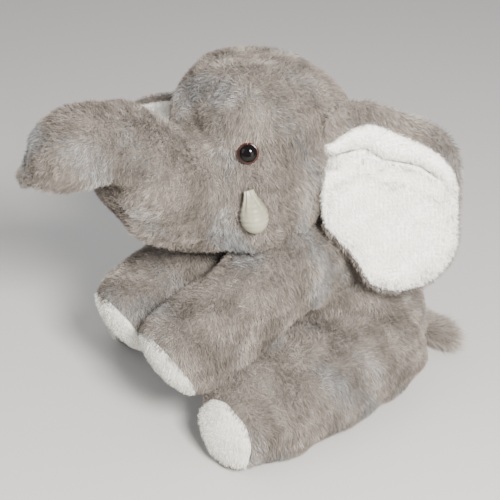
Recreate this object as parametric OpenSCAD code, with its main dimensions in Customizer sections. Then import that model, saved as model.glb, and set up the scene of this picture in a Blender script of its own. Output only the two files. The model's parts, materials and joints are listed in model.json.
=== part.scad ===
// Sitting stuffed elephant with a raised trunk, made of sewn panels over polyester stuffing.
// +X is the animal's left side, -Y is the way it faces, and the origin is the middle of its seat.
// Limbs, trunk, tail and head each turn about the middle of their rounded inner end.

/* [Torso] */
// Radius of the rump, the widest stretch of the torso
rump_r = 64; // [60:1:66]
// Radius of the chest
chest_r = 54; // [50:1:56]
// Radius of the neck
neck_r = 40; // [36:1:42]
// Radius of the round panel that the toy sits on
seat_r = 26; // [22:1:26]

/* [Head] */
// Radius of the rounded back of the head's broad dome
dome_r = 56; // [53:1:57]
// Radius of the rounded corners of the bulging forehead
forehead_r = 39; // [37:1:42]
// Radius of each cheek
cheek_r = 38; // [35:1:39]
// Distance of each cheek from the middle plane
cheek_x = 26; // [22:1:28]
// Half width of the strip sewn over the top of the head
gusset_half_w = 12; // [9:1:16]

/* [Trunk] */
// Radius of the trunk where it leaves the face
trunk_root_r = 43; // [41:1:43]
// Radius of the trunk halfway up its rise
trunk_mid_r = 40; // [37:1:40]
// Radius of the trunk near its tip
trunk_tip_r = 31; // [28:1:31]

/* [Arms] */
// Radius of each arm at the shoulder and along its length
arm_r = 31; // [28:1:31]
// Radius of each front paw
paw_r = 33; // [30:1:33]
// Radius of the smooth pad on each front paw
paw_pad_r = 26.5; // [23:0.5:27]
// Downward tilt of the front pads, in degrees
paw_tilt = 29; // [26:1:34]

/* [Legs] */
// Radius of each leg at the hip
hip_r = 42; // [40:1:42]
// Radius of each leg at the knee
knee_r = 38; // [35:1:39]
// Radius of each hind foot
foot_r = 33.5; // [31:0.5:34]
// Radius of the smooth pad on each hind foot
foot_pad_r = 24; // [20:1:25]
// Outward turn of the right leg as the toy sits, in degrees
right_leg_turn = 22; // [18:1:22]

/* [Ears] */
// Angle of the left ear behind straight out, in degrees
left_ear_angle = 65; // [60:1:68]
// Angle of the right ear behind straight out, in degrees: it has flopped forward
right_ear_angle = -38; // [-40:1:-25]
// Thickness of the outer ear, two layers of plush with its seam turned in
ear_thick = 5; // [4:0.5:6]
// Thickness of the white lining
lining_thick = 4; // [3:0.5:5]
// Width of the outer ear's rim around the lining
ear_rim = 9; // [6:1:12]

/* [Face] */
// Radius of each safety eye
eye_r = 7.5; // [6:0.5:8]
// Length of each satin tusk
tusk_length = 29; // [24:1:32]
// Radius of a tusk at its round end
tusk_r = 10; // [8:1:11]

/* [Tail] */
// Radius of the tail where it leaves the rump
tail_root_r = 13; // [12:1:14]
// Radius of the tail along its length
tail_r = 11; // [10:0.5:11]

/* [Cloth] */
// Thickness of the plush cloth of a skin
skin = 2; // [1.5:0.5:3]
// Thickness of a pad's cloth
pad_thick = 2; // [1.5:0.5:3]
// Clearance between pieces that turn against each other
gap = 0.6; // [0.5:0.1:1]

/* [Motion] */
// Highest nod of the head, in degrees
nod_max = 8; // [5:1:8]
// Swing of the trunk up and down, in degrees
trunk_swing = 10; // [6:1:10]
// Widest swing of an arm, out and a little up, in degrees
arm_swing = 20; // [10:1:20]
// Outward swing of the left leg, in degrees
left_leg_out = 20; // [10:1:20]
// Outward swing of the right leg, in degrees
right_leg_out = 5; // [2:1:5]
// Inward swing of the right leg, in degrees
right_leg_in = 15; // [10:1:15]
// Swing of the tail to each side, in degrees
tail_swing = 20; // [10:1:20]
// Backward swing of the left ear, in degrees
left_ear_back = 10; // [5:1:10]
// Forward swing of the left ear, in degrees
left_ear_forward = 10; // [8:1:10]
// Backward swing of the right ear, in degrees
right_ear_back = 45; // [20:1:45]

/* [Hidden] */

plush = "dimgray";
pad_white = "ivory";
filling = "whitesmoke";

skin_facets = 24;
cut_facets = 20;
fill_facets = 12;
slack = 0.2;      // space between a skin and its stuffing
big = 600;        // larger than twice the toy's reach from its origin

// Each soft form is the hull of a few balls, given as [x, y, z, radius].
flat = 4;         // how far the sitting weight flattens a ball that rests on the floor
rump = [0, 0, rump_r - 10, rump_r];
chest = [0, -30, 115, chest_r];
neck = [0, -65, 160, neck_r];
torso_balls = [rump, chest, neck];

dome = [0, -83, 213];       // the head nods about this point
crown = [9, -74, 213, dome_r];
forehead = [13.5, -100, 231.5, forehead_r];
chin = [0, -104, 176, 34];
cheek_y = -107;
cheek_z = 177;
gusset_foot = 172; // lowest point of the strip, at the nape
cheek = [cheek_x, cheek_y, cheek_z, cheek_r];
head_balls = concat([for (side = [-1, 1], ball = [crown, forehead, cheek]) mirrored(ball, side)], [chin]);

trunk_root = [0, -121, 180, trunk_root_r];
trunk_mid = [0, -160, 191, trunk_mid_r];
trunk_bend = [0, -193, 226, trunk_tip_r];
trunk_top = [0, -225, 229, trunk_tip_r];
trunk_end = [0, -235, 214];        // middle of the flat end, which faces the floor
trunk_end_r = 29;

shoulder = [38, -83, 127, arm_r];
elbow = [36, -130, 98, arm_r - 0.5];
paw = [34, -170, 82, paw_r];
paw_cut = 15;     // distance of the pad's seam from the middle of the paw
arm_axis = [-1, 0, 2];      // axis of the left arm's swing

hip = [48, -10, hip_r - flat, hip_r];
knee = [65, -80, knee_r - flat, knee_r];
instep = [66, -128, 37, foot_r - 0.5];
foot = [68, -142, foot_r - flat, foot_r];
leg_balls = [hip, knee, instep, foot];
foot_turn = 10;   // outward turn of the hind foot's pad, in degrees
foot_cut = 20;    // distance of the pad's seam from the middle of the foot

tail_root = [0, 57, 24, tail_root_r];
tail_bend = [22, 73, 14, tail_r];
tail_end = [35, 78, 12, tail_r - 1];
tuft_end = [43, 80, 11, tail_r - 1.5];

ear_root = [58, -59];
ear_edge = 4.5;   // radius of the rolled seam along the ear's root
left_ear_top = 242;
right_ear_top = 228;
ear_foot = 165;   // lowest point at which the ear's root is sewn to the head
left_ear_outline = [[42, 192, 44], [51, 141, 38], [12, 234, 16], [9, 188, 12]];    // [out, up, radius]
right_ear_outline = [[48, 166, 42], [56, 150, 36], [74, 192, 19], [12, 212, 14], [9, 184, 12]];
ear_room = 32;    // how far from the root the head is hollowed for the ear

eye_lean = 0.33;  // how far the eye lies from the forehead towards the cheek
left_eye_turn = -37.5;      // heading of each eye, in degrees
right_eye_turn = -28;
eye_rise = 13.5;  // elevation of the eyes, in degrees
eye_height = 3.2;
shank_r = 2.5;
shank_length = 11;
washer_r = 8;
washer_thick = 1.5;

tusk_top = [55, -129, 195];
tusk_top_r = 5;
tusk_lean = [0.5, 0, -1];

// ---- helpers ----

function mirrored(ball, side) = [side * ball[0], ball[1], ball[2], ball[3]];
function both(balls, side) = [for (b = balls) mirrored(b, side)];
function ear_top(side) = side > 0 ? left_ear_top : right_ear_top;
// A socket is a little larger than its ball, so that the flats of one clear the corners of the other.
function socket_r(r) = (r + gap) / pow(cos(180 / cut_facets), 2);

module balls(list, inset = 0, facets = skin_facets) {
    hull() for (b = list) translate([b[0], b[1], b[2]]) sphere(r = b[3] - inset, $fn = facets);
}

module sockets(list) {
    hull() for (b = list) translate([b[0], b[1], b[2]]) sphere(r = socket_r(b[3]), $fn = cut_facets);
}

module above(z) {
    intersection() {
        children();
        translate([-big / 2, -big / 2, z]) cube(big);
    }
}

module half(side) {
    intersection() {
        children();
        translate([side > 0 ? 0 : -big, -big / 2, 0]) cube(big);
    }
}

// Turns its children about a line through a point.
module turn(angle, axis, point) {
    translate([point[0], point[1], point[2]]) rotate(a = angle, v = axis)
        translate([-point[0], -point[1], -point[2]]) children();
}

// ---- torso ----

module torso_form(inset = 0, facets = skin_facets) {
    above(inset) balls(torso_balls, inset, facets);
}

module torso_sockets() {
    for (side = [-1, 1]) {
        for (share = [0, 0.5, 1]) swung_arm(side, share) sockets(both([shoulder, elbow, paw], side));
        for (swing = side > 0 ? [0, left_leg_out / 2, left_leg_out] : [-right_leg_in, 0, right_leg_out])
            placed_leg(side, swing) above(-1) sockets(both(leg_balls, side));
    }
    for (share = [0, 0.5, 1]) {
        turn(-share * nod_max, [1, 0, 0], dome) {
            sockets(head_balls);
            trunk_socket();
        }
    }
    for (share = [-1, 0, 1]) turn(share * tail_swing, [0, 0, 1], tail_root) sockets([tail_root, tail_bend]);
}

module torso_panel(side) {
    color(plush) half(side) difference() {
        torso_form();
        torso_form(skin, fill_facets);
        torso_sockets();
        cylinder(r = seat_r, h = skin, $fn = 64);
    }
}

module torso_left_panel() { torso_panel(1); }

module torso_right_panel() { torso_panel(-1); }

module seat_panel() { color(plush) cylinder(r = seat_r, h = skin, $fn = 64); }

module torso_stuffing() {
    color(filling) difference() {
        torso_form(skin + slack, fill_facets);
        torso_sockets();
    }
}

// ---- head ----

module head_form(inset = 0, facets = skin_facets) { balls(head_balls, inset, facets); }

module trunk_socket() {
    for (share = [-1, 0, 1]) {
        turn(share * trunk_swing, [1, 0, 0], trunk_root) {
            sockets([trunk_root, trunk_mid]);
            sockets([trunk_mid, trunk_bend]);
        }
    }
}

// Room for the arms below the cheeks, however far the head has nodded.
module arm_room() {
    for (side = [-1, 1], nod = [0, 1], share = [0, 0.5, 1]) {
        turn(nod * nod_max, [1, 0, 0], dome) swung_arm(side, share)
            sockets(both([shoulder, elbow, paw], side));
    }
}

// Room for the ear's root and for the first stretch of its blade as it swings.
module ear_socket(side) {
    swings = side > 0 ? [-left_ear_forward, -left_ear_forward / 2, 0, left_ear_back]
        : [0, right_ear_back / 3, right_ear_back * 2 / 3, right_ear_back];
    for (swing = swings) {
        at_ear(side, swing) translate([-ear_edge - gap, -lining_thick - gap, ear_foot - 30])
            cube([ear_room, lining_thick + ear_thick + 2 * gap, ear_top(side) - ear_foot + 45]);
    }
    at_ear(side) translate([0, 0, ear_foot - gap])
        cylinder(r = ear_edge + gap, h = ear_top(side) - ear_foot + 2 * gap, $fn = 24);
}

module head_cuts() {
    trunk_socket();
    arm_room();
    for (side = [-1, 1]) {
        ear_socket(side);
        tusk_form(side);
        at_eye(side) translate([-shank_length, 0, 0]) rotate([0, 90, 0])
            cylinder(r = shank_r + 0.1, h = 2 * shank_length, $fn = 24);
        at_eye(side) translate([-washer_depth() - washer_thick - slack, 0, 0]) rotate([0, 90, 0])
            cylinder(r = washer_r + slack, h = washer_thick + 2 * slack, $fn = 24);
    }
}

module gusset_zone() {
    translate([-gusset_half_w, -big / 2, gusset_foot]) cube([2 * gusset_half_w, big, big]);
}

module head_shell() {
    difference() {
        head_form();
        head_form(skin, fill_facets);
        head_cuts();
    }
}

module head_panel(side) {
    color(plush) half(side) difference() {
        head_shell();
        gusset_zone();
    }
}

module head_left_panel() { head_panel(1); }

module head_right_panel() { head_panel(-1); }

module head_gusset() {
    color(plush) intersection() {
        head_shell();
        gusset_zone();
    }
}

module head_stuffing() {
    color(filling) difference() {
        head_form(skin + slack, fill_facets);
        head_cuts();
    }
}

// ---- eyes ----

function eye_ball() = forehead * (1 - eye_lean) + cheek * eye_lean;
function washer_depth() = skin + 1;

// Puts its children at an eye, with +X pointing straight out of the face.
module at_eye(side) {
    b = eye_ball();
    mirror([side > 0 ? 0 : 1, 0, 0]) translate([b[0], b[1], b[2]])
        rotate([0, 0, side > 0 ? left_eye_turn : right_eye_turn]) rotate([0, -eye_rise, 0]) translate([b[3], 0, 0]) children();
}

module eye(side) {
    color("black") at_eye(side) rotate([0, 90, 0]) union() {
        rotate_extrude($fn = 48) intersection() {
            scale([1, eye_height / eye_r]) circle(r = eye_r, $fn = 48);
            square([eye_r, eye_r]);
        }
        translate([0, 0, -shank_length]) cylinder(r = shank_r, h = shank_length, $fn = 24);
    }
}

module eye_washer(side) {
    color("white") at_eye(side) translate([-washer_depth() - washer_thick, 0, 0]) rotate([0, 90, 0])
        difference() {
            cylinder(r = washer_r, h = washer_thick, $fn = 32);
            translate([0, 0, -washer_thick]) cylinder(r = shank_r, h = 3 * washer_thick, $fn = 24);
        }
}

module left_eye() { eye(1); }

module right_eye() { eye(-1); }

module left_eye_washer() { eye_washer(1); }

module right_eye_washer() { eye_washer(-1); }

// ---- tusks ----

module tusk_form(side, inset = 0) {
    drop = tusk_length - tusk_r - tusk_top_r;
    mirror([side > 0 ? 0 : 1, 0, 0]) hull() {
        translate(tusk_top) sphere(r = tusk_top_r - inset, $fn = 20);
        translate(tusk_top + drop * tusk_lean) sphere(r = tusk_r - inset, $fn = 20);
    }
}

module tusk_cover(side) {
    color("cornsilk") difference() {
        tusk_form(side);
        tusk_form(side, 1);
    }
}

module tusk_stuffing(side) { color(filling) tusk_form(side, 1 + slack); }

module left_tusk_cover() { tusk_cover(1); }

module right_tusk_cover() { tusk_cover(-1); }

module left_tusk_stuffing() { tusk_stuffing(1); }

module right_tusk_stuffing() { tusk_stuffing(-1); }

// ---- trunk ----

module trunk_form(inset = 0, facets = skin_facets) {
    difference() {
        union() {
            balls([trunk_root, trunk_mid], inset, facets);
            balls([trunk_mid, trunk_bend], inset, facets);
            balls([trunk_bend, trunk_top], inset, facets);
            hull() {
                balls([trunk_top], inset, facets);
                translate([0, trunk_end[1], trunk_end[2] + inset])
                    cylinder(r = trunk_end_r - inset, h = 2, $fn = facets);
            }
        }
        translate([-big / 2, trunk_end[1] + trunk_end_r - big + inset, trunk_end[2] + inset - big])
            cube(big);
    }
}

module trunk_panel(side) {
    color(plush) half(side) difference() {
        trunk_form();
        trunk_form(skin, fill_facets);
    }
}

module trunk_left_panel() { trunk_panel(1); }

module trunk_right_panel() { trunk_panel(-1); }

module trunk_tip_panel() {
    color(plush) translate([0, trunk_end[1], trunk_end[2] - skin])
        cylinder(r = trunk_end_r - 2, h = skin, $fn = 48);
}

module trunk_stuffing() { color(filling) trunk_form(skin + slack, fill_facets); }

// ---- arms ----

// Swings an arm by a share of its range.
module swung_arm(side, share) {
    turn(share * arm_swing, [arm_axis[0], arm_axis[1], side * arm_axis[2]], mirrored(shoulder, side))
        children();
}

// Puts its children at a front pad, with +Z pointing out of the paw.
module at_paw(side) {
    translate([side * paw[0], paw[1], paw[2]]) rotate([90 + paw_tilt, 0, 0])
        translate([0, 0, paw_cut]) children();
}

module arm_form(side, inset = 0, facets = skin_facets) {
    difference() {
        balls(both([shoulder, elbow, paw], side), inset, facets);
        at_paw(side) translate([-big / 2, -big / 2, -inset]) cube(big);
    }
}

module arm_skin(side) {
    color(plush) difference() {
        arm_form(side);
        arm_form(side, skin, fill_facets);
    }
}

module arm_stuffing(side) { color(filling) arm_form(side, skin + slack, fill_facets); }

module paw_pad(side) { color(pad_white) at_paw(side) cylinder(r = paw_pad_r, h = pad_thick, $fn = 48); }

module left_arm_skin() { arm_skin(1); }

module right_arm_skin() { arm_skin(-1); }

module left_arm_stuffing() { arm_stuffing(1); }

module right_arm_stuffing() { arm_stuffing(-1); }

module left_paw_pad() { paw_pad(1); }

module right_paw_pad() { paw_pad(-1); }

// ---- legs ----

// Turns a leg outward about its hip, from lying straight ahead to how it lies at rest plus a swing.
module placed_leg(side, swing = 0) {
    turn(side * (swing + (side > 0 ? 0 : right_leg_turn)), [0, 0, 1], mirrored(hip, side)) children();
}

// Puts its children at a hind pad, with +Z pointing out of the foot.
module at_foot(side) {
    translate([side * foot[0], foot[1], foot[2]]) rotate([0, 0, side * foot_turn]) rotate([90, 0, 0])
        translate([0, 0, foot_cut]) children();
}

module leg_form(side, inset = 0, facets = skin_facets) {
    above(inset) placed_leg(side) difference() {
        balls(both(leg_balls, side), inset, facets);
        at_foot(side) translate([-big / 2, -big / 2, -inset]) cube(big);
    }
}

module leg_skin(side) {
    color(plush) difference() {
        leg_form(side);
        leg_form(side, skin, fill_facets);
    }
}

module leg_stuffing(side) { color(filling) leg_form(side, skin + slack, fill_facets); }

module foot_pad(side) {
    color(pad_white) placed_leg(side) at_foot(side) cylinder(r = foot_pad_r, h = pad_thick, $fn = 48);
}

module left_leg_skin() { leg_skin(1); }

module right_leg_skin() { leg_skin(-1); }

module left_leg_stuffing() { leg_stuffing(1); }

module right_leg_stuffing() { leg_stuffing(-1); }

module left_foot_pad() { foot_pad(1); }

module right_foot_pad() { foot_pad(-1); }

// ---- ears ----

// Puts its children at an ear's root, with +X along the ear and -Y out of its lining.
module at_ear(side, swing = 0) {
    mirror([side > 0 ? 0 : 1, 0, 0]) translate([ear_root[0], ear_root[1], 0])
        rotate([0, 0, (side > 0 ? left_ear_angle : right_ear_angle) + swing]) children();
}

module ear_blade(side, rim, thick) {
    rotate([90, 0, 0]) linear_extrude(thick) intersection() {
        hull() for (c = side > 0 ? left_ear_outline : right_ear_outline)
            translate([c[0], c[1]]) circle(r = c[2] - rim, $fn = 32);
        translate([-ear_edge + rim, 0]) square(big);
    }
}

module ear_outer(side) {
    color(plush) at_ear(side) union() {
        translate([0, ear_thick, 0]) ear_blade(side, 0, ear_thick);
        translate([0, 0, ear_foot]) cylinder(r = ear_edge, h = ear_top(side) - ear_foot, $fn = 20);
    }
}

module ear_lining(side) {
    color(pad_white) difference() {
        at_ear(side) ear_blade(side, ear_rim, lining_thick);
        at_ear(side) translate([0, 0, ear_foot]) cylinder(r = ear_edge, h = ear_top(side) - ear_foot, $fn = 20);
    }
}

module left_ear_outer() { ear_outer(1); }

module right_ear_outer() { ear_outer(-1); }

module left_ear_lining() { ear_lining(1); }

module right_ear_lining() { ear_lining(-1); }

// ---- tail ----

module tail_form(inset = 0, facets = skin_facets) {
    balls([tail_root, tail_bend], inset, facets);
    balls([tail_bend, tail_end], inset, facets);
}

module tail_skin() {
    color(plush) difference() {
        tail_form();
        tail_form(skin, fill_facets);
    }
}

module tail_stuffing() { color(filling) tail_form(skin + slack, fill_facets); }

module tail_tuft() {
    color(plush) difference() {
        balls([tail_end, tuft_end]);
        tail_form();
    }
}

torso_left_panel();
torso_right_panel();
seat_panel();
torso_stuffing();
head_left_panel();
head_right_panel();
head_gusset();
head_stuffing();
trunk_left_panel();
trunk_right_panel();
trunk_tip_panel();
trunk_stuffing();
left_arm_skin();
left_arm_stuffing();
left_paw_pad();
right_arm_skin();
right_arm_stuffing();
right_paw_pad();
left_leg_skin();
left_leg_stuffing();
left_foot_pad();
right_leg_skin();
right_leg_stuffing();
right_foot_pad();
left_ear_outer();
left_ear_lining();
right_ear_outer();
right_ear_lining();
left_tusk_cover();
left_tusk_stuffing();
right_tusk_cover();
right_tusk_stuffing();
left_eye();
left_eye_washer();
right_eye();
right_eye_washer();
tail_skin();
tail_stuffing();
tail_tuft();
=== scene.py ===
"""Sitting stuffed elephant: plush skins with a real pile, white pads and ear linings, satin tusks and
glossy eyes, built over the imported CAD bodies. Everything is in metres in the CAD frame: +Z up, the animal
faces -Y, and its left side is +X."""
import json
import math

import bmesh
import bpy
import numpy as np
from mathutils import Matrix, Vector
from mathutils.bvhtree import BVHTree


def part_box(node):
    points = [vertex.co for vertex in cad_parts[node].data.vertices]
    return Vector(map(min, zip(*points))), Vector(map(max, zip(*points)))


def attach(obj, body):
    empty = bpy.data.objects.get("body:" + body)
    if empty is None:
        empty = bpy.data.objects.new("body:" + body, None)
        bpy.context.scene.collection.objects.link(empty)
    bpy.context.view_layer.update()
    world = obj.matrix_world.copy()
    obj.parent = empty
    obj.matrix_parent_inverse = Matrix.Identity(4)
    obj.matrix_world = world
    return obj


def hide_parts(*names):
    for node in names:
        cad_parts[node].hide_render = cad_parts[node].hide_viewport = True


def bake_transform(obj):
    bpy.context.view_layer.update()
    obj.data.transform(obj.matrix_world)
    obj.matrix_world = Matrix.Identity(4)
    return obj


MM = 0.001
SIDES = (("left", 1), ("right", -1))
VOXEL = 4 * MM            # coarse mesh of a stuffed form, before its cloth is inflated
NAP = 2.2 * MM            # how far a skin's cloth lies under the outline that its pile reaches
CLEAR = 1.2 * MM          # room kept between the cloths of two bodies
OFF_FLOOR = 0.4 * MM      # the lowest that any cloth lies

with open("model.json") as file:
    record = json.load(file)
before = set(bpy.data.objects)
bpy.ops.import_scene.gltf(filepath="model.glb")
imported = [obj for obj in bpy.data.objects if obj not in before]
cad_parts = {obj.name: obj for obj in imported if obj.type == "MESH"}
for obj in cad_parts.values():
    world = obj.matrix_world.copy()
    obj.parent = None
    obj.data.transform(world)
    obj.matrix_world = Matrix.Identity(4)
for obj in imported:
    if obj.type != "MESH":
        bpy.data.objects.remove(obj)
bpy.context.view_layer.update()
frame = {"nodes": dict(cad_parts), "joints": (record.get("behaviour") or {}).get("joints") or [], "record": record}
joint = {j["name"]: j for j in frame["joints"]}


# ---- helpers ----

def pivot(name):
    """A joint's centre, as an array in metres."""
    return np.array(joint[name]["pos_m"], float)


def points_of(mesh):
    """A mesh's points, as an array with one row each."""
    co = np.empty(len(mesh.vertices) * 3, np.float32)
    mesh.vertices.foreach_get("co", co)
    return co.reshape(-1, 3).astype(float)


def node_points(node):
    return points_of(frame["nodes"][node].data)


def set_points(mesh, co):
    mesh.vertices.foreach_set("co", co.astype(np.float32).ravel())
    mesh.update()


def normals_of(mesh):
    n = np.empty(len(mesh.vertices) * 3, np.float32)
    mesh.vertices.foreach_get("normal", n)
    return n.reshape(-1, 3).astype(float)


def unit(v):
    return v / np.maximum(np.linalg.norm(v, axis=-1, keepdims=True), 1e-12)


def step(x):
    """Smooth step from 0 at 0 to 1 at 1."""
    x = np.clip(x, 0, 1)
    return x * x * (3 - 2 * x)


def add_object(name, mesh):
    obj = bpy.data.objects.new(name, mesh)
    bpy.context.scene.collection.objects.link(obj)
    return obj


def apply_modifiers(obj):
    bpy.context.view_layer.update()
    graph = bpy.context.evaluated_depsgraph_get()
    mesh = bpy.data.meshes.new_from_object(obj.evaluated_get(graph))
    obj.modifiers.clear()
    old, obj.data = obj.data, mesh
    bpy.data.meshes.remove(old)
    return obj


def smooth_shade(obj):
    obj.data.polygons.foreach_set("use_smooth", np.ones(len(obj.data.polygons), bool))


def tree_of(obj):
    """A search tree of an object's surface."""
    bpy.context.view_layer.update()
    return BVHTree.FromObject(obj, bpy.context.evaluated_depsgraph_get())


def turned_tree(obj, joint_name):
    """The same, with the object at the upper limit of a joint."""
    hinge, at = joint[joint_name], pivot(joint_name)
    turn = np.array(Matrix.Rotation(math.radians(hinge["range_deg"][1]), 3, Vector(hinge["axis"])))
    co = (points_of(obj.data) - at) @ turn.T + at
    return BVHTree.FromPolygons(co.tolist(), [tuple(f.vertices) for f in obj.data.polygons])


def waves(p, size, seed, layers=7):
    """A smooth random field from about -1 to 1 whose bumps are about size across."""
    rng = np.random.default_rng(seed)
    total = np.zeros(len(p))
    for _ in range(layers):
        k = unit(rng.normal(size=3)) * (2 * math.pi / size) * rng.uniform(0.6, 1.5)
        total += np.sin(p @ k + rng.uniform(0, 2 * math.pi))
    return total / math.sqrt(layers)


def ring_mesh(name, rings):
    """A mesh through closed rings of points, with its first and last ring filled."""
    count = len(rings[0])
    faces = []
    for r in range(len(rings) - 1):
        for k in range(count):
            a, b = r * count + k, r * count + (k + 1) % count
            faces.append((a, b, b + count, a + count))
    faces.append(tuple(reversed(range(count))))
    faces.append(tuple(range((len(rings) - 1) * count, len(rings) * count)))
    mesh = bpy.data.meshes.new(name)
    mesh.from_pydata(np.concatenate(rings).tolist(), [], faces)
    bm = bmesh.new()
    bm.from_mesh(mesh)
    bmesh.ops.recalc_face_normals(bm, faces=bm.faces)
    bm.to_mesh(mesh)
    bm.free()
    obj = add_object(name, mesh)
    smooth_shade(obj)
    return obj


def frame_round(axis):
    """Two directions at right angles to an axis and to each other."""
    a = unit(np.cross(axis, [0, 0, 1.0] if abs(axis[2]) < 0.9 else [1.0, 0, 0]))
    return a, np.cross(axis, a)


def circle_round(axis, count):
    """Angles round an axis, and the unit vector from the axis at each."""
    a, b = frame_round(axis)
    turn = np.linspace(0, 2 * math.pi, count, endpoint=False)
    return turn, np.cos(turn)[:, None] * a + np.sin(turn)[:, None] * b


def smooth_ring(ring, rounds):
    """Rounds off the corners of a closed ring of points."""
    for _ in range(rounds):
        ring = (np.roll(ring, 1, 0) + 2 * ring + np.roll(ring, -1, 0)) / 4
    return ring


def finish_soft(obj, slot, fill, body, *nodes):
    """Attaches a stuffed piece to its body and hides the CAD nodes it stands for; its slot and how full it is are
    not used.
    """
    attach(obj, body)
    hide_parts(*nodes)


# ---- materials ----

def srgb(*screen):
    """Linear colour from 0 to 255 screen values."""
    def linear(value):
        value /= 255
        return value / 12.92 if value <= 0.04045 else ((value + 0.055) / 1.055) ** 2.4
    return tuple(linear(value) for value in screen) + (1,)


def plain_material(name, colour, rough, sheen=0.0, specular=0.5):
    """A material of one colour all over."""
    mat = bpy.data.materials.new(name)
    mat.use_nodes = True
    shader = mat.node_tree.nodes["Principled BSDF"]
    shader.inputs["Base Color"].default_value = colour
    shader.inputs["Roughness"].default_value = rough
    shader.inputs["Sheen Weight"].default_value = sheen
    shader.inputs["Specular IOR Level"].default_value = specular
    return mat


def cloth_material(name, low, high, scale, bump_scale, bump_height, rough=0.9, sheen=0.2):
    """Cloth that varies between two colours in soft patches, with fine fibres in its bump."""
    mat = plain_material(name, high, rough, sheen, specular=0.2)
    tree = mat.node_tree
    shader = tree.nodes["Principled BSDF"]
    place = tree.nodes.new("ShaderNodeTexCoord")
    patches = tree.nodes.new("ShaderNodeTexNoise")
    patches.inputs["Scale"].default_value = scale
    patches.inputs["Detail"].default_value = 6
    ramp = tree.nodes.new("ShaderNodeValToRGB")
    ramp.color_ramp.elements[0].position = 0.35
    ramp.color_ramp.elements[0].color = low
    ramp.color_ramp.elements[1].position = 0.65
    ramp.color_ramp.elements[1].color = high
    fibres = tree.nodes.new("ShaderNodeTexNoise")
    fibres.inputs["Scale"].default_value = bump_scale
    fibres.inputs["Detail"].default_value = 4
    bump = tree.nodes.new("ShaderNodeBump")
    bump.inputs["Distance"].default_value = bump_height
    links = tree.links
    links.new(place.outputs["Object"], patches.inputs["Vector"])
    links.new(place.outputs["Object"], fibres.inputs["Vector"])
    links.new(patches.outputs["Fac"], ramp.inputs["Fac"])
    links.new(ramp.outputs["Color"], shader.inputs["Base Color"])
    links.new(fibres.outputs["Fac"], bump.inputs["Height"])
    links.new(bump.outputs["Normal"], shader.inputs["Normal"])
    return mat


WARM_TONES = [srgb(92, 85, 77), srgb(111, 103, 95), srgb(131, 122, 113), srgb(151, 142, 133),
              srgb(172, 163, 153)]
COOL_TONES = [srgb(94, 92, 89), srgb(113, 111, 109), srgb(131, 130, 128), srgb(150, 149, 147),
              srgb(169, 168, 166)]
WHITE_TONES = [srgb(242, 239, 230), srgb(250, 248, 241), srgb(255, 254, 249)]
# The pads' whites are greyer than the linings' as painted shade: the same white plush, darkened because the pads
# face down, away from the light.
PAD_SHADED_TONES = [srgb(212, 211, 200), srgb(221, 220, 210), srgb(230, 229, 220)]


def strand_materials(name, tones):
    return [plain_material(f"{name}_strand_{i}", tone, 0.9, specular=0.15) for i, tone in enumerate(tones)]


plush_strands = strand_materials("plush", WARM_TONES + COOL_TONES)
white_strands = strand_materials("white", WHITE_TONES)
pad_shaded_strands = strand_materials("pad", PAD_SHADED_TONES)
plush_cloth = cloth_material("plush_cloth", srgb(94, 87, 80), srgb(118, 110, 102), 60, 900, 0.6 * MM)
white_cloth = cloth_material("white_cloth", srgb(240, 237, 228), srgb(252, 250, 244), 60, 900, 0.4 * MM)
# The pad cloth is the linings' white, painted greyer as shade on the downward-facing pads.
pad_shaded_cloth = cloth_material("pad_shaded_cloth", srgb(208, 206, 195), srgb(224, 223, 212), 60, 900, 0.4 * MM)
satin = cloth_material("tusk_satin", srgb(138, 134, 115), srgb(158, 154, 135), 45, 1500, 0.08 * MM,
                       rough=0.3, sheen=0.05)
eye_black = plain_material("eye_black", srgb(6, 4, 4), 0.06, specular=0.28)
eye_brown = plain_material("eye_brown", srgb(56, 20, 12), 0.2, specular=0.5)
lock_plastic = cloth_material("washer_plastic", srgb(196, 196, 190), srgb(214, 214, 208), 200, 600,
                              0.05 * MM, rough=0.5, sheen=0)


# ---- stuffed forms from the CAD bodies ----

def keep_hull(bm):
    """Replaces what a mesh holds by the hull round all its points."""
    made = bmesh.ops.convex_hull(bm, input=bm.verts)
    kept = {f for f in made["geom"] if isinstance(f, bmesh.types.BMFace)}
    bmesh.ops.delete(bm, geom=[f for f in bm.faces if f not in kept], context="FACES_ONLY")
    bmesh.ops.delete(bm, geom=[v for v in bm.verts if not v.link_faces], context="VERTS")


def form_of(name, groups, bridges=(), voxel=VOXEL, relax=10):
    """A closed, evenly meshed form of some groups of CAD nodes, each (nodes, whether to take their hull), and of
    bridges, each the hull of some balls (centre, radius)."""
    bm = bmesh.new()

    def add(part, hull):
        if hull:
            keep_hull(part)
        mesh = bpy.data.meshes.new("part")
        part.to_mesh(mesh)
        part.free()
        bm.from_mesh(mesh)
        bpy.data.meshes.remove(mesh)

    for nodes, hull in groups:
        part = bmesh.new()
        for node in nodes:
            part.from_mesh(frame["nodes"][node].data)
        add(part, hull)
    for balls in bridges:
        part = bmesh.new()
        for centre, radius in balls:
            made = bmesh.ops.create_icosphere(part, subdivisions=4, radius=radius)
            bmesh.ops.translate(part, verts=made["verts"], vec=Vector(centre))
        add(part, True)
    mesh = bpy.data.meshes.new(name)
    bm.to_mesh(mesh)
    bm.free()
    obj = add_object(name, mesh)
    remesh = obj.modifiers.new("even", "REMESH")
    remesh.mode = "VOXEL"
    remesh.voxel_size = voxel
    relaxed = obj.modifiers.new("relax", "SMOOTH")
    relaxed.factor = 0.5
    relaxed.iterations = relax
    apply_modifiers(obj)
    keep_largest(obj)
    smooth_shade(obj)
    return obj


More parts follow.
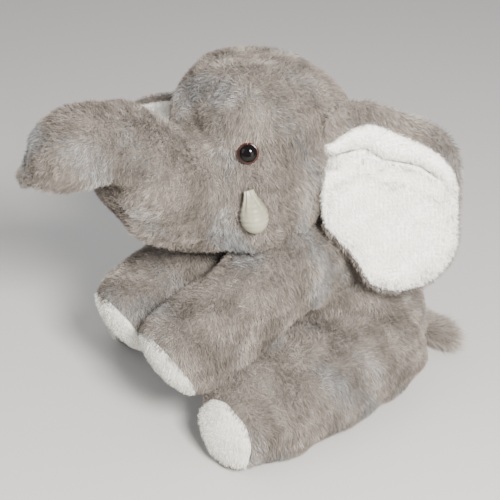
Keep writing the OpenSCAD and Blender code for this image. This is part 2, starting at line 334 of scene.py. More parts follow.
def keep_largest(obj):
    """Drops the small bubbles that a remesh leaves between two walls."""
    bm = bmesh.new()
    bm.from_mesh(obj.data)
    left = set(bm.verts)
    islands = []
    while left:
        seed = left.pop()
        island, edge = {seed}, [seed]
        while edge:
            for e in edge.pop().link_edges:
                for v in e.verts:
                    if v not in island:
                        island.add(v)
                        edge.append(v)
        left -= island
        islands.append(island)
    islands.sort(key=len)
    for island in islands[:-1]:
        bmesh.ops.delete(bm, geom=list(island), context="VERTS")
    bm.to_mesh(obj.data)
    bm.free()


def inflate(jobs, steps=20, pressure=4.0):
    """Blows up the cloth of each (form, seam test, cap): it swells between its seams, which stay put."""
    rest = {}
    for obj, seam, _ in jobs:
        co = points_of(obj.data)
        set_points(obj.data, co - normals_of(obj.data) * NAP)
        rest[obj.name] = points_of(obj.data)
        group = obj.vertex_groups.new(name="seam")
        held = np.nonzero(seam(co))[0]
        group.add([int(i) for i in held], 1.0, "REPLACE")
        cloth = obj.modifiers.new("cloth", "CLOTH")
        settings = cloth.settings
        settings.vertex_group_mass = "seam"
        settings.use_pressure = True
        settings.uniform_pressure_force = pressure
        settings.effector_weights.gravity = 0
        settings.tension_stiffness = 12
        settings.compression_stiffness = 12
        settings.bending_stiffness = 0.4
        settings.quality = 4
        cloth.collision_settings.use_collision = False
        cloth.point_cache.frame_start = 1
        cloth.point_cache.frame_end = steps
    for n in range(1, steps + 1):
        bpy.context.scene.frame_set(n)
    for obj, _, cap in jobs:
        apply_modifiers(obj)
        moved = points_of(obj.data) - rest[obj.name]
        length = np.linalg.norm(moved, axis=1, keepdims=True)
        moved *= np.minimum(1, cap / np.maximum(length, 1e-9))
        set_points(obj.data, rest[obj.name] + moved)
        obj.vertex_groups.clear()
        finer = obj.modifiers.new("finer", "SUBSURF")
        finer.levels = finer.render_levels = 1
        apply_modifiers(obj)
        smooth_shade(obj)


def press_clear(obj, other_tree, way, room):
    """Presses what lies inside another form out of it, along way, and leaves room between the two."""
    co = points_of(obj.data)
    way = Vector(way).normalized()
    for i, p in enumerate(co):
        place, normal, _, _ = other_tree.find_nearest(Vector(p))
        if (Vector(p) - place).dot(normal) < room:
            leaves = other_tree.ray_cast(Vector(p), way)[0]
            if leaves is not None:
                co[i] = np.array(leaves + way * room)
    set_points(obj.data, co)


nodes_of = frame["record"]["behaviour"]["bodies"]


def soft_nodes(body, *words):
    """A body's nodes whose names hold one of the words."""
    return [n for n in nodes_of[body] if any(w in n for w in words)]


torso_parts = soft_nodes("torso", "panel", "stuffing")
head_parts = soft_nodes("head", "panel", "gusset", "head_stuffing")
trunk_parts = soft_nodes("trunk", "panel", "stuffing")
trunk_root = pivot("trunk_lift")
# Balls (middle, radius) that fill the CAD sockets, so that a skin runs on smoothly over each
ROOT_BALL = (trunk_root, 44 * MM)
RUMP = (np.array([0, 0, 54]) * MM, 64 * MM)
CHEST = (np.array([0, -30, 115]) * MM, 54 * MM)
NECK = (np.array([0, -56, 142]) * MM, 46 * MM)

LIMBS = [(side, limb, f"{side}_{limb}_{move}") for side, _ in SIDES
         for limb, move in (("arm", "swing"), ("leg", "splay"))]


def limb_root(side, limb, joint_name):
    """The ball at a limb's inner end: its middle and radius."""
    middle = pivot(joint_name)
    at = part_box(f"{side}_{limb}_skin")
    return middle, at[1].y - middle[1] - 0.5 * MM


haunches = [[limb_root(*limb), CHEST if limb[1] == "arm" else RUMP] for limb in LIMBS]
forms = {
    "torso": form_of("torso_plush_skin", [(torso_parts, True)], haunches + [[CHEST, NECK]], relax=16),
    "face": form_of("head_skin", [(head_parts, True), (trunk_parts, False)], [[ROOT_BALL]], relax=5),
    "tail": form_of("tail_plush_skin", [(soft_nodes("tail", "skin", "stuffing", "tuft"), False)],
                    voxel=2.5 * MM, relax=5),
}
for side, limb, _ in LIMBS:
    parts = soft_nodes(f"{side}_{limb}", "skin", "stuffing")
    forms[f"{side}_{limb}"] = form_of(f"{side}_{limb}_plush_skin", [(parts, True)])

SEAM = 2.2 * MM           # half width of the strip that a seam holds back
BEND_START = np.array([0, -150, 190]) * MM   # the skin over the face is cut here into head and trunk pieces, and its pile turns to lie along the trunk
gusset_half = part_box("head_gusset")[1].x


def middle_seam(co):
    return np.abs(co[:, 0]) < SEAM


def face_seams(co):
    """The strip over the head has a seam on each side; the trunk has one seam along its middle."""
    on_head = co[:, 1] > trunk_root[1] - 20 * MM
    return np.where(on_head, np.abs(np.abs(co[:, 0]) - gusset_half) < SEAM, np.abs(co[:, 0]) < SEAM)


def limb_seam(name):
    """The seam along the middle of a limb."""
    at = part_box(name)
    x = (at[0].x + at[1].x) / 2
    return lambda co: np.abs(co[:, 0] - x) < SEAM


def no_seam(co):
    return np.zeros(len(co), bool)


inflate([(forms["torso"], middle_seam, 5 * MM), (forms["face"], face_seams, 2.5 * MM),
         (forms["tail"], no_seam, 1 * MM),
         (forms["left_arm"], limb_seam("left_arm_skin"), 5 * MM),
         (forms["right_arm"], limb_seam("right_arm_skin"), 5 * MM),
         (forms["left_leg"], no_seam, 4 * MM), (forms["right_leg"], no_seam, 4 * MM)])


# ---- the eyes' places ----

def eye_axis(side):
    """An eye's middle and the direction in which it looks."""
    eye, washer = node_points(f"{side}_eye"), node_points(f"{side}_eye_washer")
    axis = unit(eye.mean(0) - washer.mean(0))
    base = eye.mean(0) + axis * (((eye - eye.mean(0)) @ axis).max() - EYE_RISE)
    return base, axis


EYE_RISE = 5.2 * MM       # from an eye's base to its front
eyes = {side: eye_axis(side) for side, _ in SIDES}

# ---- lumps, seams and swellings of the stuffed forms ----

LUMPS = ((60 * MM, 11, 1.6 * MM), (24 * MM, 12, 0.8 * MM))   # size, seed and height
SEAM_WIDTH, SEAM_DEPTH = 3 * MM, 1.8 * MM   # of the valleys along the seams over the head
EYE_WIDTH, EYE_DEPTH = 9 * MM, 2.2 * MM     # of the dent that each eye pulls in
CROOK = np.array([50, -108, 76]) * MM    # left arm and leg swell towards each other beside this point
CHEEK = np.array([52, -74, 166]) * MM    # and the left cheek is fuller here, where it meets the ear


def ridge(away, width, height):
    """A soft ridge of some height, by the distance away from its middle line."""
    return height * np.exp(-(away / width) ** 2)


def swelling(co, middle, width, height):
    """A soft round swelling of some height about a point."""
    return ridge(np.linalg.norm(co - middle, axis=1), width, height)


def face_shape(co):
    """How far the face stands out: it sinks along the seams over the dome, and its left cheek is fuller."""
    on_dome = step((co[:, 2] - trunk_root[2] - 20 * MM) / (25 * MM))
    on_dome *= step((co[:, 1] - BEND_START[1]) / (20 * MM))
    valley = ridge(np.abs(co[:, 0]) - gusset_half, SEAM_WIDTH, SEAM_DEPTH)
    return swelling(co, CHEEK, 16 * MM, 5 * MM) - valley * on_dome


for name, obj in forms.items():
    co = points_of(obj.data)
    lumps = sum(waves(co, size, seed) * height for size, seed, height in LUMPS)
    if name == "face":
        lumps += face_shape(co)
    if name.endswith(("arm", "leg")):
        lumps += swelling(co, CROOK * [1 if name.startswith("left") else -1, 1, 1], 27 * MM, 6 * MM)
    co += normals_of(obj.data) * lumps[:, None]
    if name == "face":
        for base, axis in eyes.values():
            co -= axis * swelling(co, base, EYE_WIDTH, EYE_DEPTH)[:, None]
    co[:, 2] = np.maximum(co[:, 2], OFF_FLOOR)
    set_points(obj.data, co)
    obj.data.materials.append(plush_cloth)

for head_tree in (tree_of(forms["face"]), turned_tree(forms["face"], "head_nod")):
    press_clear(forms["torso"], head_tree, (0, 0.5, -1), CLEAR)
trees = {name: tree_of(obj) for name, obj in forms.items()}


# ---- pile ----

def depth_in(tree, points, reach):
    """How far each point lies inside a form: negative outside it, and never more than reach either way."""
    out = np.full(len(points), -reach)
    for i, p in enumerate(points):
        place, normal, _, distance = tree.find_nearest(Vector(p))
        inside = (Vector(p) - place).dot(normal) < 0
        out[i] = min(distance, reach) * (1 if inside else -1)
    return out


def nearest_distance(tree, points, reach):
    """How far each point lies from a surface, and never more than reach."""
    out = np.full(len(points), reach)
    for i, p in enumerate(points):
        hit = tree.find_nearest(Vector(p), reach)
        if hit[0] is not None:
            out[i] = hit[3]
    return out


def surface_samples(obj, per_cm2, rng):
    """Random points on a mesh, with its smooth normals there."""
    mesh = obj.data
    mesh.calc_loop_triangles()
    tris = np.empty(len(mesh.loop_triangles) * 3, np.int32)
    mesh.loop_triangles.foreach_get("vertices", tris)
    tris = tris.reshape(-1, 3)
    co, normal = points_of(mesh), normals_of(mesh)
    a, b, c = co[tris[:, 0]], co[tris[:, 1]], co[tris[:, 2]]
    area = np.linalg.norm(np.cross(b - a, c - a), axis=1) / 2
    count = int(area.sum() * 1e4 * per_cm2)
    pick = rng.choice(len(tris), count, p=area / area.sum())
    u, v = rng.random(count), rng.random(count)
    flip = u + v > 1
    u[flip], v[flip] = 1 - u[flip], 1 - v[flip]
    w = 1 - u - v
    t = tris[pick]
    p = w[:, None] * co[t[:, 0]] + u[:, None] * co[t[:, 1]] + v[:, None] * co[t[:, 2]]
    n = unit(w[:, None] * normal[t[:, 0]] + u[:, None] * normal[t[:, 1]] + v[:, None] * normal[t[:, 2]])
    return p, n


def clump_pull(p, cell, seed):
    """From each point to the middle of its tuft: the points are grouped in jittered cells."""
    index = np.floor(p / cell)
    noise = np.sin(index @ np.array([127.1, 311.7, 74.7]) + seed)[:, None]
    noise = noise * np.array([43758.5, 22578.1, 19642.3])
    jitter = noise - np.floor(noise)
    return (index + 0.2 + 0.6 * jitter) * cell - p


def plush_tone(p, rng):
    """Which plush strand each point gets: light and dark patches, and cooler grey in some of them."""
    levels = len(WARM_TONES)
    light = 0.52 + waves(p, 34 * MM, 3) * 0.15 + waves(p, 9 * MM, 4) * 0.12 + rng.normal(size=len(p)) * 0.13
    level = np.clip((light * levels).astype(int), 0, levels - 1)
    cool = waves(p, 48 * MM, 5) + rng.normal(size=len(p)) * 0.45 > 0.75
    return level + levels * cool


def white_tone(p, rng):
    """Which white or pad strand each point gets."""
    return rng.integers(0, len(WHITE_TONES), len(p))


WANDER = 0.5              # how far the comb wanders from patch to patch
STRAY = 0.35              # how far single strands stray from it
KNEE_PULL, TIP_PULL = 0.15, 0.25   # share of the way to its tuft's middle that a strand's knee and tip go
ROLL = 1.1                # spread of a strand's turn about itself, in radians


def grow_pile(skin, per_cm2, length, width, comb, seed, tone, keep=None, tilt=(28, 62), clump=4 * MM,
              longer=None):
    """Blades for the pile on a skin: thin and bent, they lean along comb and gather in tufts. Returns the five
    corners of each blade, its strand and where it is rooted."""
    rng = np.random.default_rng(seed)
    p, n = surface_samples(skin, per_cm2, rng)
    if keep is not None:
        ok = keep(p, n)
        p, n = p[ok], n[ok]
    count = len(p)
    lean = comb(p) + WANDER * np.stack([waves(p, 30 * MM, seed + i) for i in range(3)], 1)
    lean += STRAY * rng.normal(size=(count, 3))
    lean -= (lean * n).sum(1)[:, None] * n
    lean = unit(lean)
    pull = clump_pull(p, clump, seed)
    pull -= (pull * n).sum(1)[:, None] * n
    size = length * rng.uniform(0.7, 1.15, count) * (1 + 0.1 * waves(p, 15 * MM, seed + 5))
    if longer is not None:
        size = size * longer(p)
    first = np.radians(tilt[0] + rng.normal(size=count) * 10)
    last = np.radians(tilt[1] + rng.normal(size=count) * 12)
    root = p - n * 0.4 * MM
    up = n * np.cos(first)[:, None] + lean * np.sin(first)[:, None]
    over = n * np.cos(last)[:, None] + lean * np.sin(last)[:, None]
    middle = root + up * (size * 0.5)[:, None] + pull * KNEE_PULL
    tip = middle + over * (size * 0.55)[:, None] + pull * TIP_PULL
    along = unit(tip - root)
    across = unit(np.cross(along, n) + 1e-9)
    roll = rng.normal(size=count) * ROLL
    across = across * np.cos(roll)[:, None] + np.cross(along, across) * np.sin(roll)[:, None]
    half = across * (width / 2 * rng.uniform(0.7, 1.3, count))[:, None]
    co = np.stack([root - half, root + half, middle - half * 0.85, middle + half * 0.85, tip], 1)
    co[:, :, 2] = np.maximum(co[:, :, 2], 0.2 * MM)
    return co, tone(p, rng), p


def pile_piece(name, blades, strands, where=None):
    """One object of blades, or of those whose roots pass the test where."""
    co, shades, roots = blades
    if where is not None:
        chosen = where(roots)
        co, shades = co[chosen], shades[chosen]
    count = len(co)
    corner = np.array([0, 1, 3, 0, 3, 2, 2, 3, 4])
    loops = (np.arange(count)[:, None] * 5 + corner).ravel()
    mesh = bpy.data.meshes.new(name)
    mesh.vertices.add(count * 5)
    mesh.vertices.foreach_set("co", co.astype(np.float32).ravel())
    mesh.loops.add(len(loops))
    mesh.loops.foreach_set("vertex_index", loops.astype(np.int32))
    mesh.polygons.add(count * 3)
    mesh.polygons.foreach_set("loop_start", np.arange(0, count * 9, 3, dtype=np.int32))
    for m in strands:
        mesh.materials.append(m)
    mesh.polygons.foreach_set("material_index", np.repeat(shades, 3).astype(np.int32))
    mesh.update(calc_edges=True)
    mesh.validate()
    obj = add_object(name, mesh)
    smooth_shade(obj)
    return obj


def toward(x, y, z):
    """A comb that points the same way everywhere."""
    return lambda p: np.tile(unit(np.array([x, y, z], float)), (len(p), 1))


neighbours = {"torso": ["face", "left_arm", "right_arm", "left_leg", "right_leg", "tail"],
              "face": ["torso", "left_arm", "right_arm"], "tail": ["torso"],
              "left_arm": ["torso", "face"], "right_arm": ["torso", "face"],
              "left_leg": ["torso"], "right_leg": ["torso"]}
BARE = 1 * MM             # pile is left out where it would be rooted this deep in another skin


def open_places(name, holes=()):
    """A test for points that no neighbouring skin covers and that lie outside each hole (centre, radius)."""
    def test(p, n):
        clear = np.ones(len(p), bool)
        for centre, radius in holes:
            clear &= np.linalg.norm(p - centre, axis=1) > radius
        for other in neighbours[name]:
            clear[clear] = depth_in(trees[other], p[clear], 2 * BARE) < BARE
        return clear
    return test


DENSE = 200               # strands per square centimetre
LEG_THIN = 0.92           # share of them on the legs, so that each leg's pile isn't too heavy for one piece
PILE = 4.8 * MM           # length of a strand
STRAND = 0.27 * MM        # and its width


# ---- white pads on the paws and feet ----

def pad_place(node, body_joint):
    """The middle, outward direction and radius of a round pad."""
    co = node_points(node)
    middle = co.mean(0)
    out = np.linalg.svd(co - middle, full_matrices=False)[2][2]
    out = out * np.sign(out @ (middle - pivot(body_joint)))
    radius = np.linalg.norm((co - middle) - np.outer((co - middle) @ out, out), axis=1).max()
    return middle, out, radius


PAD_RISE = 9 * MM         # how far a pad's middle stands out past its edge
PAD_SINK = 2.5 * MM       # how deep the edge lies in the paw
PAD_BACK = 4 * MM         # how far behind its CAD middle a pad's back lies
PAD_SPREAD = 1.5 * MM     # how much wider than in CAD it is


def add_pad(node, body, joint_name, seed):
    """A puffed round pad of smooth white plush whose edge sinks into the paw."""
    middle, out, radius = pad_place(node, joint_name)
    radius += PAD_SPREAD
    turn, round_it = circle_round(out, 72)
    edge = 1 + 0.025 * np.sin(5 * turn + seed) + 0.015 * np.sin(9 * turn + 2 * seed)
    rings = [middle - out * PAD_BACK + round_it * radius * share for share in (0.05, 0.6, 0.9)]
    for share in np.linspace(1, 0.04, 16) ** 0.8:
        rise = PAD_RISE * (1 - share ** 2) ** 0.7 - PAD_SINK
        rings.append(middle + out * rise + round_it * (radius * share * edge)[:, None])
    obj = ring_mesh(f"{node}_plush", rings)
    # Its white is painted greyer than the linings' as shade, since the pad faces down.
    obj.data.materials.append(pad_shaded_cloth)
    co = points_of(obj.data)
    co[:, 2] = np.maximum(co[:, 2], 0.5 * MM)
    set_points(obj.data, co)
    finish_soft(obj, "smooth_pile", 0.9, body, node)
    blades = grow_pile(obj, 120, 2.6 * MM, 0.36 * MM, toward(0, 0, -1), seed, white_tone,
                       keep=lambda p, n: n @ out > 0.1, tilt=(15, 45), clump=3 * MM)
    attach(pile_piece(f"{node}_pile", blades, pad_shaded_strands), body)
    return middle, radius


pads = {}
for i, (side, _) in enumerate(SIDES):
    pads[f"{side}_arm"] = add_pad(f"{side}_paw_pad", f"{side}_arm", f"{side}_arm_swing", 300 + i)
    pads[f"{side}_leg"] = add_pad(f"{side}_foot_pad", f"{side}_leg", f"{side}_leg_splay", 310 + i)


# ---- skins and pile of torso, limbs and tail ----

combs = {"torso": toward(0, 0.4, -1), "tail": toward(0.7, 0.6, -0.1)}
for side, s in SIDES:
    combs[f"{side}_arm"] = toward(0.1 * s, -0.2, -0.9)
    combs[f"{side}_leg"] = toward(0.15 * s, 0.2, -0.9)


SKIN_FILL = 0.8


def on_left(p):
    return p[:, 0] >= 0


def on_right(p):
    return p[:, 0] < 0


for i, name in enumerate(("torso", "left_arm", "right_arm", "left_leg", "right_leg")):
    skin = forms[name]
    finish_soft(skin, "plush", SKIN_FILL, name, *soft_nodes(name, "panel", "skin", "stuffing"))
    holes = [(pads[name][0], pads[name][1] - 1 * MM)] if name in pads else []
    dense = DENSE * (LEG_THIN if name.endswith("leg") else 1)
    blades = grow_pile(skin, dense, PILE, STRAND, combs[name], 100 + 10 * i, plush_tone,
                       keep=open_places(name, holes))
    if name == "torso":
        for half, where in (("left", on_left), ("right", on_right)):
            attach(pile_piece(f"torso_{half}_pile", blades, plush_strands, where), name)
    else:
        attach(pile_piece(f"{name}_pile", blades, plush_strands), name)

TUFT_PILE = 8 * MM        # pile of the tail, which grows longer over the tuft


def tuft_growth(p):
    """How much longer the tail's pile is at each point."""
    return 1 + 0.8 * step((p[:, 0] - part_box("tail_tuft")[0].x + 20 * MM) / (30 * MM))


def tuft_tone(p, rng):
    """The tail has no cool strands, and lighter ones than elsewhere."""
    levels = len(WARM_TONES)
    return np.minimum(plush_tone(p, rng) % levels + 2, levels - 1)


finish_soft(forms["tail"], "plush", SKIN_FILL, "tail", *soft_nodes("tail", "skin", "stuffing", "tuft"))
blades = grow_pile(forms["tail"], DENSE, TUFT_PILE, STRAND, combs["tail"], 180, tuft_tone,
                   keep=open_places("tail"), longer=tuft_growth)
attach(pile_piece("tail_tuft_pile", blades, plush_strands), "tail")


# ---- head and trunk: one skin over both, cut where the trunk starts to bend ----

def cut_piece(source, name, keep_front):
    """The part of a mesh in front of, or behind, the plane through BEND_START."""
    bm = bmesh.new()
    bm.from_mesh(source.data)
    geom = bm.verts[:] + bm.edges[:] + bm.faces[:]
    bmesh.ops.bisect_plane(bm, geom=geom, plane_co=BEND_START, plane_no=(0, 1, 0), clear_outer=keep_front,
                           clear_inner=not keep_front)
    mesh = bpy.data.meshes.new(name)
    bm.to_mesh(mesh)
    bm.free()
    mesh.materials.append(plush_cloth)
    obj = add_object(name, mesh)
    smooth_shade(obj)
    return obj


def follow_trunk(obj):
    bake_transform(obj)


whole_face = forms["face"]
eye_holes = [(base - axis * 1 * MM, 6.2 * MM) for base, axis in eyes.values()]


def face_comb(p):
    """Back over the head, and along the trunk towards its tip."""
    on_trunk = step((BEND_START[1] + 20 * MM - p[:, 1]) / (30 * MM))[:, None]
    return toward(0, 0.4, -0.9)(p) * (1 - on_trunk) + toward(0, -1, -0.3)(p) * on_trunk


blades = grow_pile(whole_face, DENSE, PILE, STRAND, face_comb, 200, plush_tone,
                   keep=open_places("face", eye_holes))
head_skin = cut_piece(whole_face, "head_plush_skin", False)
trunk_skin = cut_piece(whole_face, "trunk_plush_skin", True)
bpy.data.objects.remove(whole_face)
finish_soft(head_skin, "plush", SKIN_FILL, "head", *head_parts)
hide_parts(*trunk_parts)
follow_trunk(trunk_skin)


def behind(p):
    return p[:, 1] > BEND_START[1]


for half, where in (("left", on_left), ("right", on_right)):
    pile = pile_piece(f"head_{half}_pile", blades, plush_strands, lambda p: behind(p) & where(p))
    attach(pile, "head")
follow_trunk(pile_piece("trunk_pile", blades, plush_strands, lambda p: ~behind(p)))


# ---- ears ----

EAR_PUFF = 4 * MM         # half thickness of the stuffed rim and back
EAR_CUP = 9 * MM          # how far the rim curls towards the lining
ROOT_FLARE = 10 * MM      # how far the lining's inner edge comes forward along the head
EAR_FILL = 0.5
LOW_RIM = 2.5 * MM        # grey rim round the lining, and how much wider it is over the top
TOP_RIM = {"left": 14 * MM, "right": 3 * MM}
LINING_RISE = 3.5 * MM    # how far the lining's middle stands out
LINING_SINK = 1.5 * MM    # how deep its back lies in the ear
# Creases where the ear is gathered at its root: (out from the root, depth)
ROOT_CREASES = ((9 * MM, 2.4 * MM), (17 * MM, 1.6 * MM))
CREASE_WIDTH = 2.4 * MM
# Fold that crosses the left ear's lining: (out from the root, up from the floor)
FOLD = np.array([(-6, 214), (17, 216), (31, 207), (56, 201), (80, 184)]) * MM


class Ear:
    """A flat ear's place: its root, its directions out and to the front, and its outline in them."""

    def __init__(self, side):
        outer, lining = node_points(f"{side}_ear_outer"), node_points(f"{side}_ear_lining")
        self.root = pivot(f"{side}_ear_swing") * [1, 1, 0]
        level = (outer - self.root)[:, :2]
        out = np.linalg.svd(level - level.mean(0), full_matrices=False)[2][0]
        out = out * np.sign(out @ level.mean(0))
        self.out = np.array([out[0], out[1], 0])
        front = np.array([out[1], -out[0], 0])
        self.front = front * np.sign(front @ (lining.mean(0) - outer.mean(0)))
        flat = np.stack([(outer - self.root) @ self.out, outer[:, 2]], 1)
        low_inner = flat.min(0) + (flat[:, 0].max() - flat[:, 0].min()) * np.array([0.3, 0.09])
        self.outline = self.smooth_hull(np.vstack([flat, low_inner]))
        self.middle = self.outline.mean(0)

    def smooth_hull(self, flat, count=144):
        """An even ring of points round the hull of flat points."""
        bm = bmesh.new()
        for u, v in np.unique(flat.round(5), axis=0):
            bm.verts.new((u, v, 0))
        made = bmesh.ops.convex_hull(bm, input=bm.verts)
        rim = {v for f in made["geom"] if isinstance(f, bmesh.types.BMFace) for v in f.verts}
        hull = np.array([v.co[:2] for v in rim])
        bm.free()
        angle = np.arctan2(*(hull - hull.mean(0)).T[::-1])
        hull = hull[np.argsort(angle)]
        closed = np.vstack([hull, hull[:1]])
        along = np.concatenate([[0], np.cumsum(np.linalg.norm(np.diff(closed, axis=0), axis=1))])
        at = np.linspace(0, along[-1], count, endpoint=False)
        return smooth_ring(np.stack([np.interp(at, along, closed[:, i]) for i in range(2)], 1), 10)

    def rootness(self, uv):
        """1 at the ear's root and 0 away from it."""
        return step((16 * MM - uv[:, 0]) / (24 * MM))

    def bowl(self, uv, share):
        """How far the ear's middle surface stands in front of its plane."""
        near_root = self.rootness(uv)
        p = np.column_stack([uv, np.zeros(len(uv))])
        curl = EAR_CUP * share ** 2.4 * (1 - near_root)
        flare = ROOT_FLARE * near_root * share
        high = step((uv[:, 1] - self.middle[1]) / (50 * MM))
        flare -= high * sum(ridge(uv[:, 0] - at, CREASE_WIDTH, depth) for at, depth in ROOT_CREASES)
        ripples = waves(p, 70 * MM, 21) * 1.2 * MM + waves(p, 28 * MM, 22) * 0.5 * MM
        return curl + flare - 2 * MM + ripples

    def place(self, uv, w):
        """Points in space from places on the ear's plane and heights in front of it."""
        u = uv[:, 0] - 9 * MM * self.rootness(uv)
        return self.root + u[:, None] * self.out + uv[:, 1, None] * [0, 0, 1] + w[:, None] * self.front


def ear_puff(share):
    """Half thickness of the ear, from its middle (0) to its rim (1)."""
    return EAR_PUFF * np.sqrt(np.maximum(1 - share ** 5, 0)) + 0.3 * MM


def fold_shape(uv):
    """The lining's crease: a narrow valley with a soft roll above it."""
    rise = uv[:, 1] - np.interp(uv[:, 0], FOLD[:, 0], FOLD[:, 1])
    fade = step((FOLD[-1, 0] + 6 * MM - uv[:, 0]) / (20 * MM))
    valley = ridge(rise, 1.8 * MM, 5 * MM)
    roll = ridge(rise - 9 * MM, 8 * MM, 5.5 * MM)
    hollow = ridge(rise + 10 * MM, 12 * MM, 3 * MM)
    return (roll - valley - hollow) * fade


def ear_outer(ear, side):
    """The stuffed grey ear: a flat pillow that follows the bowl."""
    shares = [0.03, 0.2, 0.4, 0.55, 0.7, 0.8, 0.88, 0.94, 0.975, 1.0]
    rings = []
    for direction, order in ((-1, shares), (1, shares[-2::-1])):
        for share in order:
            uv = ear.middle + (ear.outline - ear.middle) * share
            full = np.full(len(uv), share)
            rings.append(ear.place(uv, ear.bowl(uv, full) + direction * ear_puff(full)))
    outer = ring_mesh(f"{side}_ear_outer_plush", rings)
    outer.data.materials.append(plush_cloth)
    finish_soft(outer, "plush", EAR_FILL, f"{side}_ear", f"{side}_ear_outer")
    return outer


def lining_edge(ear, wide):
    """The lining's outline, which leaves a grey rim of the given width over the top."""
    to_middle = unit(ear.middle - ear.outline)
    high = step((ear.outline[:, 1] - ear.middle[1]) / (60 * MM))
    root = ear.rootness(ear.outline)
    rim = LOW_RIM * (1 - 0.8 * root) + wide * high * (1 - root)
    corner = step((ear.outline[:, 1] - ear.outline[:, 1].max() + 24 * MM) / (14 * MM)) * root
    return smooth_ring(ear.outline + to_middle * rim[:, None] - corner[:, None] * [0, 1.3 * wide], 6)


def ear_lining(ear, side):
    """The white lining: a crowned pad on the front of the ear. The left one has a crease."""
    edge = lining_edge(ear, TOP_RIM[side])
    to_rim = np.linalg.norm(ear.outline - ear.middle, axis=1)
    rings = []
    for layer, order in ((0, np.linspace(0.03, 1, 8)), (1, np.linspace(1, 0.02, 44))):
        for share in order:
            uv = ear.middle + (edge - ear.middle) * share
            whole = np.linalg.norm(uv - ear.middle, axis=1) / to_rim
            crown = LINING_RISE * math.sqrt(1 - share ** 4) if layer else -LINING_SINK
            w = ear.bowl(uv, whole) + ear_puff(whole) + crown
            if layer and side == "left":
                w = w + fold_shape(uv) * math.sqrt(1 - share ** 6)
            rings.append(ear.place(uv, w))
    lining = ring_mesh(f"{side}_ear_lining_plush", rings)
    lining.data.materials.append(white_cloth)
    finish_soft(lining, "smooth_pile", EAR_FILL, f"{side}_ear", f"{side}_ear_lining")
    return lining


def make_ear(side, seed):
    ear, body = Ear(side), f"{side}_ear"
    outer, lining = ear_outer(ear, side), ear_lining(ear, side)
    lining_tree = tree_of(lining)

    def uncovered(p, n):
        return nearest_distance(lining_tree, p, 4 * MM) > 1.2 * MM

    def facing(p, n):
        return n @ ear.front > -0.2

    down = toward(*(ear.out * 0.7 + np.array([0, 0, -0.7])))
    blades = grow_pile(outer, DENSE * 0.9, PILE * 0.95, STRAND, down, seed, plush_tone, keep=uncovered)
    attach(pile_piece(f"{side}_ear_outer_pile", blades, plush_strands), body)
    blades = grow_pile(lining, 230, 2.8 * MM, 0.3 * MM, down, seed + 5, white_tone, keep=facing,
                       tilt=(15, 50), clump=3 * MM)
    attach(pile_piece(f"{side}_ear_lining_pile", blades, white_strands), body)


for i, (side, _) in enumerate(SIDES):
    make_ear(side, 400 + 20 * i)


# ---- eyes ----

def lathe(name, base, axis, profile):
    """A turned piece from its profile, a list of (radius, height over base) in millimetres."""
    round_it = circle_round(axis, 64)[1]
    return ring_mesh(name, [base + axis * h * MM + round_it * max(r, 0.02) * MM for r, h in profile])


EYE_R = 6                 # radius of the black dome, in millimetres, like the profiles
SHANK = [(2.5, -11), (2.5, -2), (5.4, -1.6)]
RIM = [(6.9, -0.4), (7.1, 0.4), (6.9, 1), (6.4, 1.2)]
DOME = [(EYE_R * math.cos(t) ** 0.8, 1.2 + 4 * math.sin(t)) for t in np.linspace(0, math.pi / 2, 18)]
WASHER = [(2.6, -9.5), (3.4, -9.8), (6.2, -9), (6.4, -8.2), (6, -7.6), (3.2, -7.4), (2.6, -7.8)]

for side, _ in SIDES:
    base, axis = eyes[side]
    eye = lathe(f"{side}_eye_button", base, axis, SHANK + RIM + DOME)
    eye.data.materials.append(eye_black)
    eye.data.materials.append(eye_brown)
    for face in eye.data.polygons:
        spot = np.array(face.center) - base
        reach = np.linalg.norm(spot - (spot @ axis) * axis)
        face.material_index = int(reach > EYE_R * MM)
    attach(eye, "head")
    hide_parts(f"{side}_eye")
    washer = lathe(f"{side}_lock_washer", base, axis, WASHER)
    washer.data.materials.append(lock_plastic)
    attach(washer, "head")
    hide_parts(f"{side}_eye_washer")


# ---- tusks ----

TUSK_R = 9.3 * MM
TUSK_FULL = 0.62          # share of the length down to which a tusk swells, before its tip rounds off


def make_tusk(side, seed):
    """A stuffed satin cone, gathered at its top and round at its tip."""
    co = node_points(f"{side}_tusk_cover")
    middle = co.mean(0)
    axis = np.linalg.svd(co - middle, full_matrices=False)[2][0]
    axis = axis * -np.sign(axis[2])
    reach = (co - middle) @ axis
    top, length = middle + axis * reach.min(), 0.94 * np.ptp(reach)
    turn, round_it = circle_round(axis, 96)
    near_tip = 0.9 + 0.1 * np.sin(np.linspace(0.1, math.pi / 2, 10))
    rings = []
    for t in np.concatenate([np.linspace(0, 0.9, 60), near_tip]):
        swell = 0.34 + 0.66 * step(t / 0.6)
        if t > TUSK_FULL:
            swell *= math.sqrt(max(1 - ((t - TUSK_FULL) / (1 - TUSK_FULL)) ** 2, 0.0004))
        gather = 0.1 * math.exp(-(t / 0.35) ** 2)
        folds = 1 + gather * (np.sin(9 * turn + seed) + 0.5 * np.sin(14 * turn + 2 * seed + 3 * t))
        wrinkles = 0.03 * np.sin(50 * t + 1.5 * np.sin(2 * turn + seed)) * math.sin(math.pi * t)
        dents = 1 + 0.02 * np.sin(3 * turn + seed + 5 * t) + wrinkles
        rings.append(top + axis * length * t + round_it * (TUSK_R * swell * folds * dents)[:, None])
    obj = ring_mesh(f"{side}_tusk_satin", rings)
    obj.data.materials.append(satin)
    finish_soft(obj, "satin", 0.9, "head", f"{side}_tusk_cover", f"{side}_tusk_stuffing")


make_tusk("left", 1)
make_tusk("right", 2)


# ---- stage, lights and camera ----

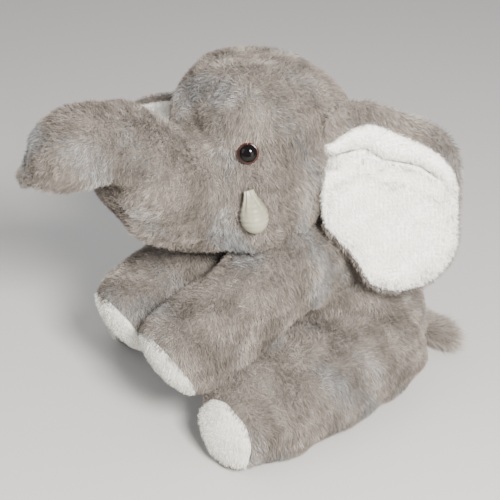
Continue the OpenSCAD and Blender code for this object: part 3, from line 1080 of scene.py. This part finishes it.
def flat_sheet(name, corners, colour):
    mesh = bpy.data.meshes.new(name)
    mesh.from_pydata(corners, [], [(0, 1, 2, 3)])
    obj = add_object(name, mesh)
    obj.data.materials.append(plain_material(name, colour, 0.9))


FLOOR = 3                 # metres from the middle of the floor to each edge
flat_sheet("floor", [(x * FLOOR, y * FLOOR, 0) for x, y in ((-1, -1), (1, -1), (1, 1), (-1, 1))],
           srgb(200, 197, 192))

AZIMUTH, ELEVATION, FIELD = 56, 27, 25.5   # of the camera, in degrees
DISTANCE = 800 * MM
TARGET = Vector((8, -97, 128)) * MM


def direction(azimuth, elevation):
    """From the target towards a camera or light."""
    a, e = math.radians(azimuth), math.radians(elevation)
    return Vector((math.sin(a) * math.cos(e), -math.cos(a) * math.cos(e), math.sin(e)))


def aim(obj, azimuth, elevation, distance):
    """Places a camera or light so that it looks at the target."""
    back = direction(azimuth, elevation)
    obj.location = TARGET + back * distance
    obj.rotation_euler = (-back).to_track_quat("-Z", "Y").to_euler()


def add_camera():
    data = bpy.data.cameras.new("camera")
    data.sensor_width = 36
    data.lens = data.sensor_width / 2 / math.tan(math.radians(FIELD / 2))
    data.clip_start = 0.01
    obj = add_object("camera", data)
    aim(obj, AZIMUTH, ELEVATION, DISTANCE)
    bpy.context.scene.camera = obj


def add_softbox(name, azimuth, elevation, distance, size, power, colour=(1, 1, 1)):
    data = bpy.data.lights.new(name, "AREA")
    data.size = size
    data.energy = power
    data.color = colour
    aim(add_object(name, data), azimuth, elevation, distance)


add_camera()
add_softbox("key", AZIMUTH + 18, 34, 1.2, 0.25, 43, (1, 0.985, 0.96))
add_softbox("fill", AZIMUTH + 30, 8, 1.4, 0.8, 6, (1, 0.98, 0.96))
add_softbox("side", AZIMUTH - 60, 30, 1.6, 1.0, 6, (0.94, 0.97, 1))
add_softbox("back", AZIMUTH + 160, 50, 1.6, 1.0, 3)
world = bpy.data.worlds.new("world")
world.use_nodes = True
background = world.node_tree.nodes["Background"]
background.inputs["Color"].default_value = (0.93, 0.95, 1, 1)
background.inputs["Strength"].default_value = 0.6
bpy.context.scene.world = world
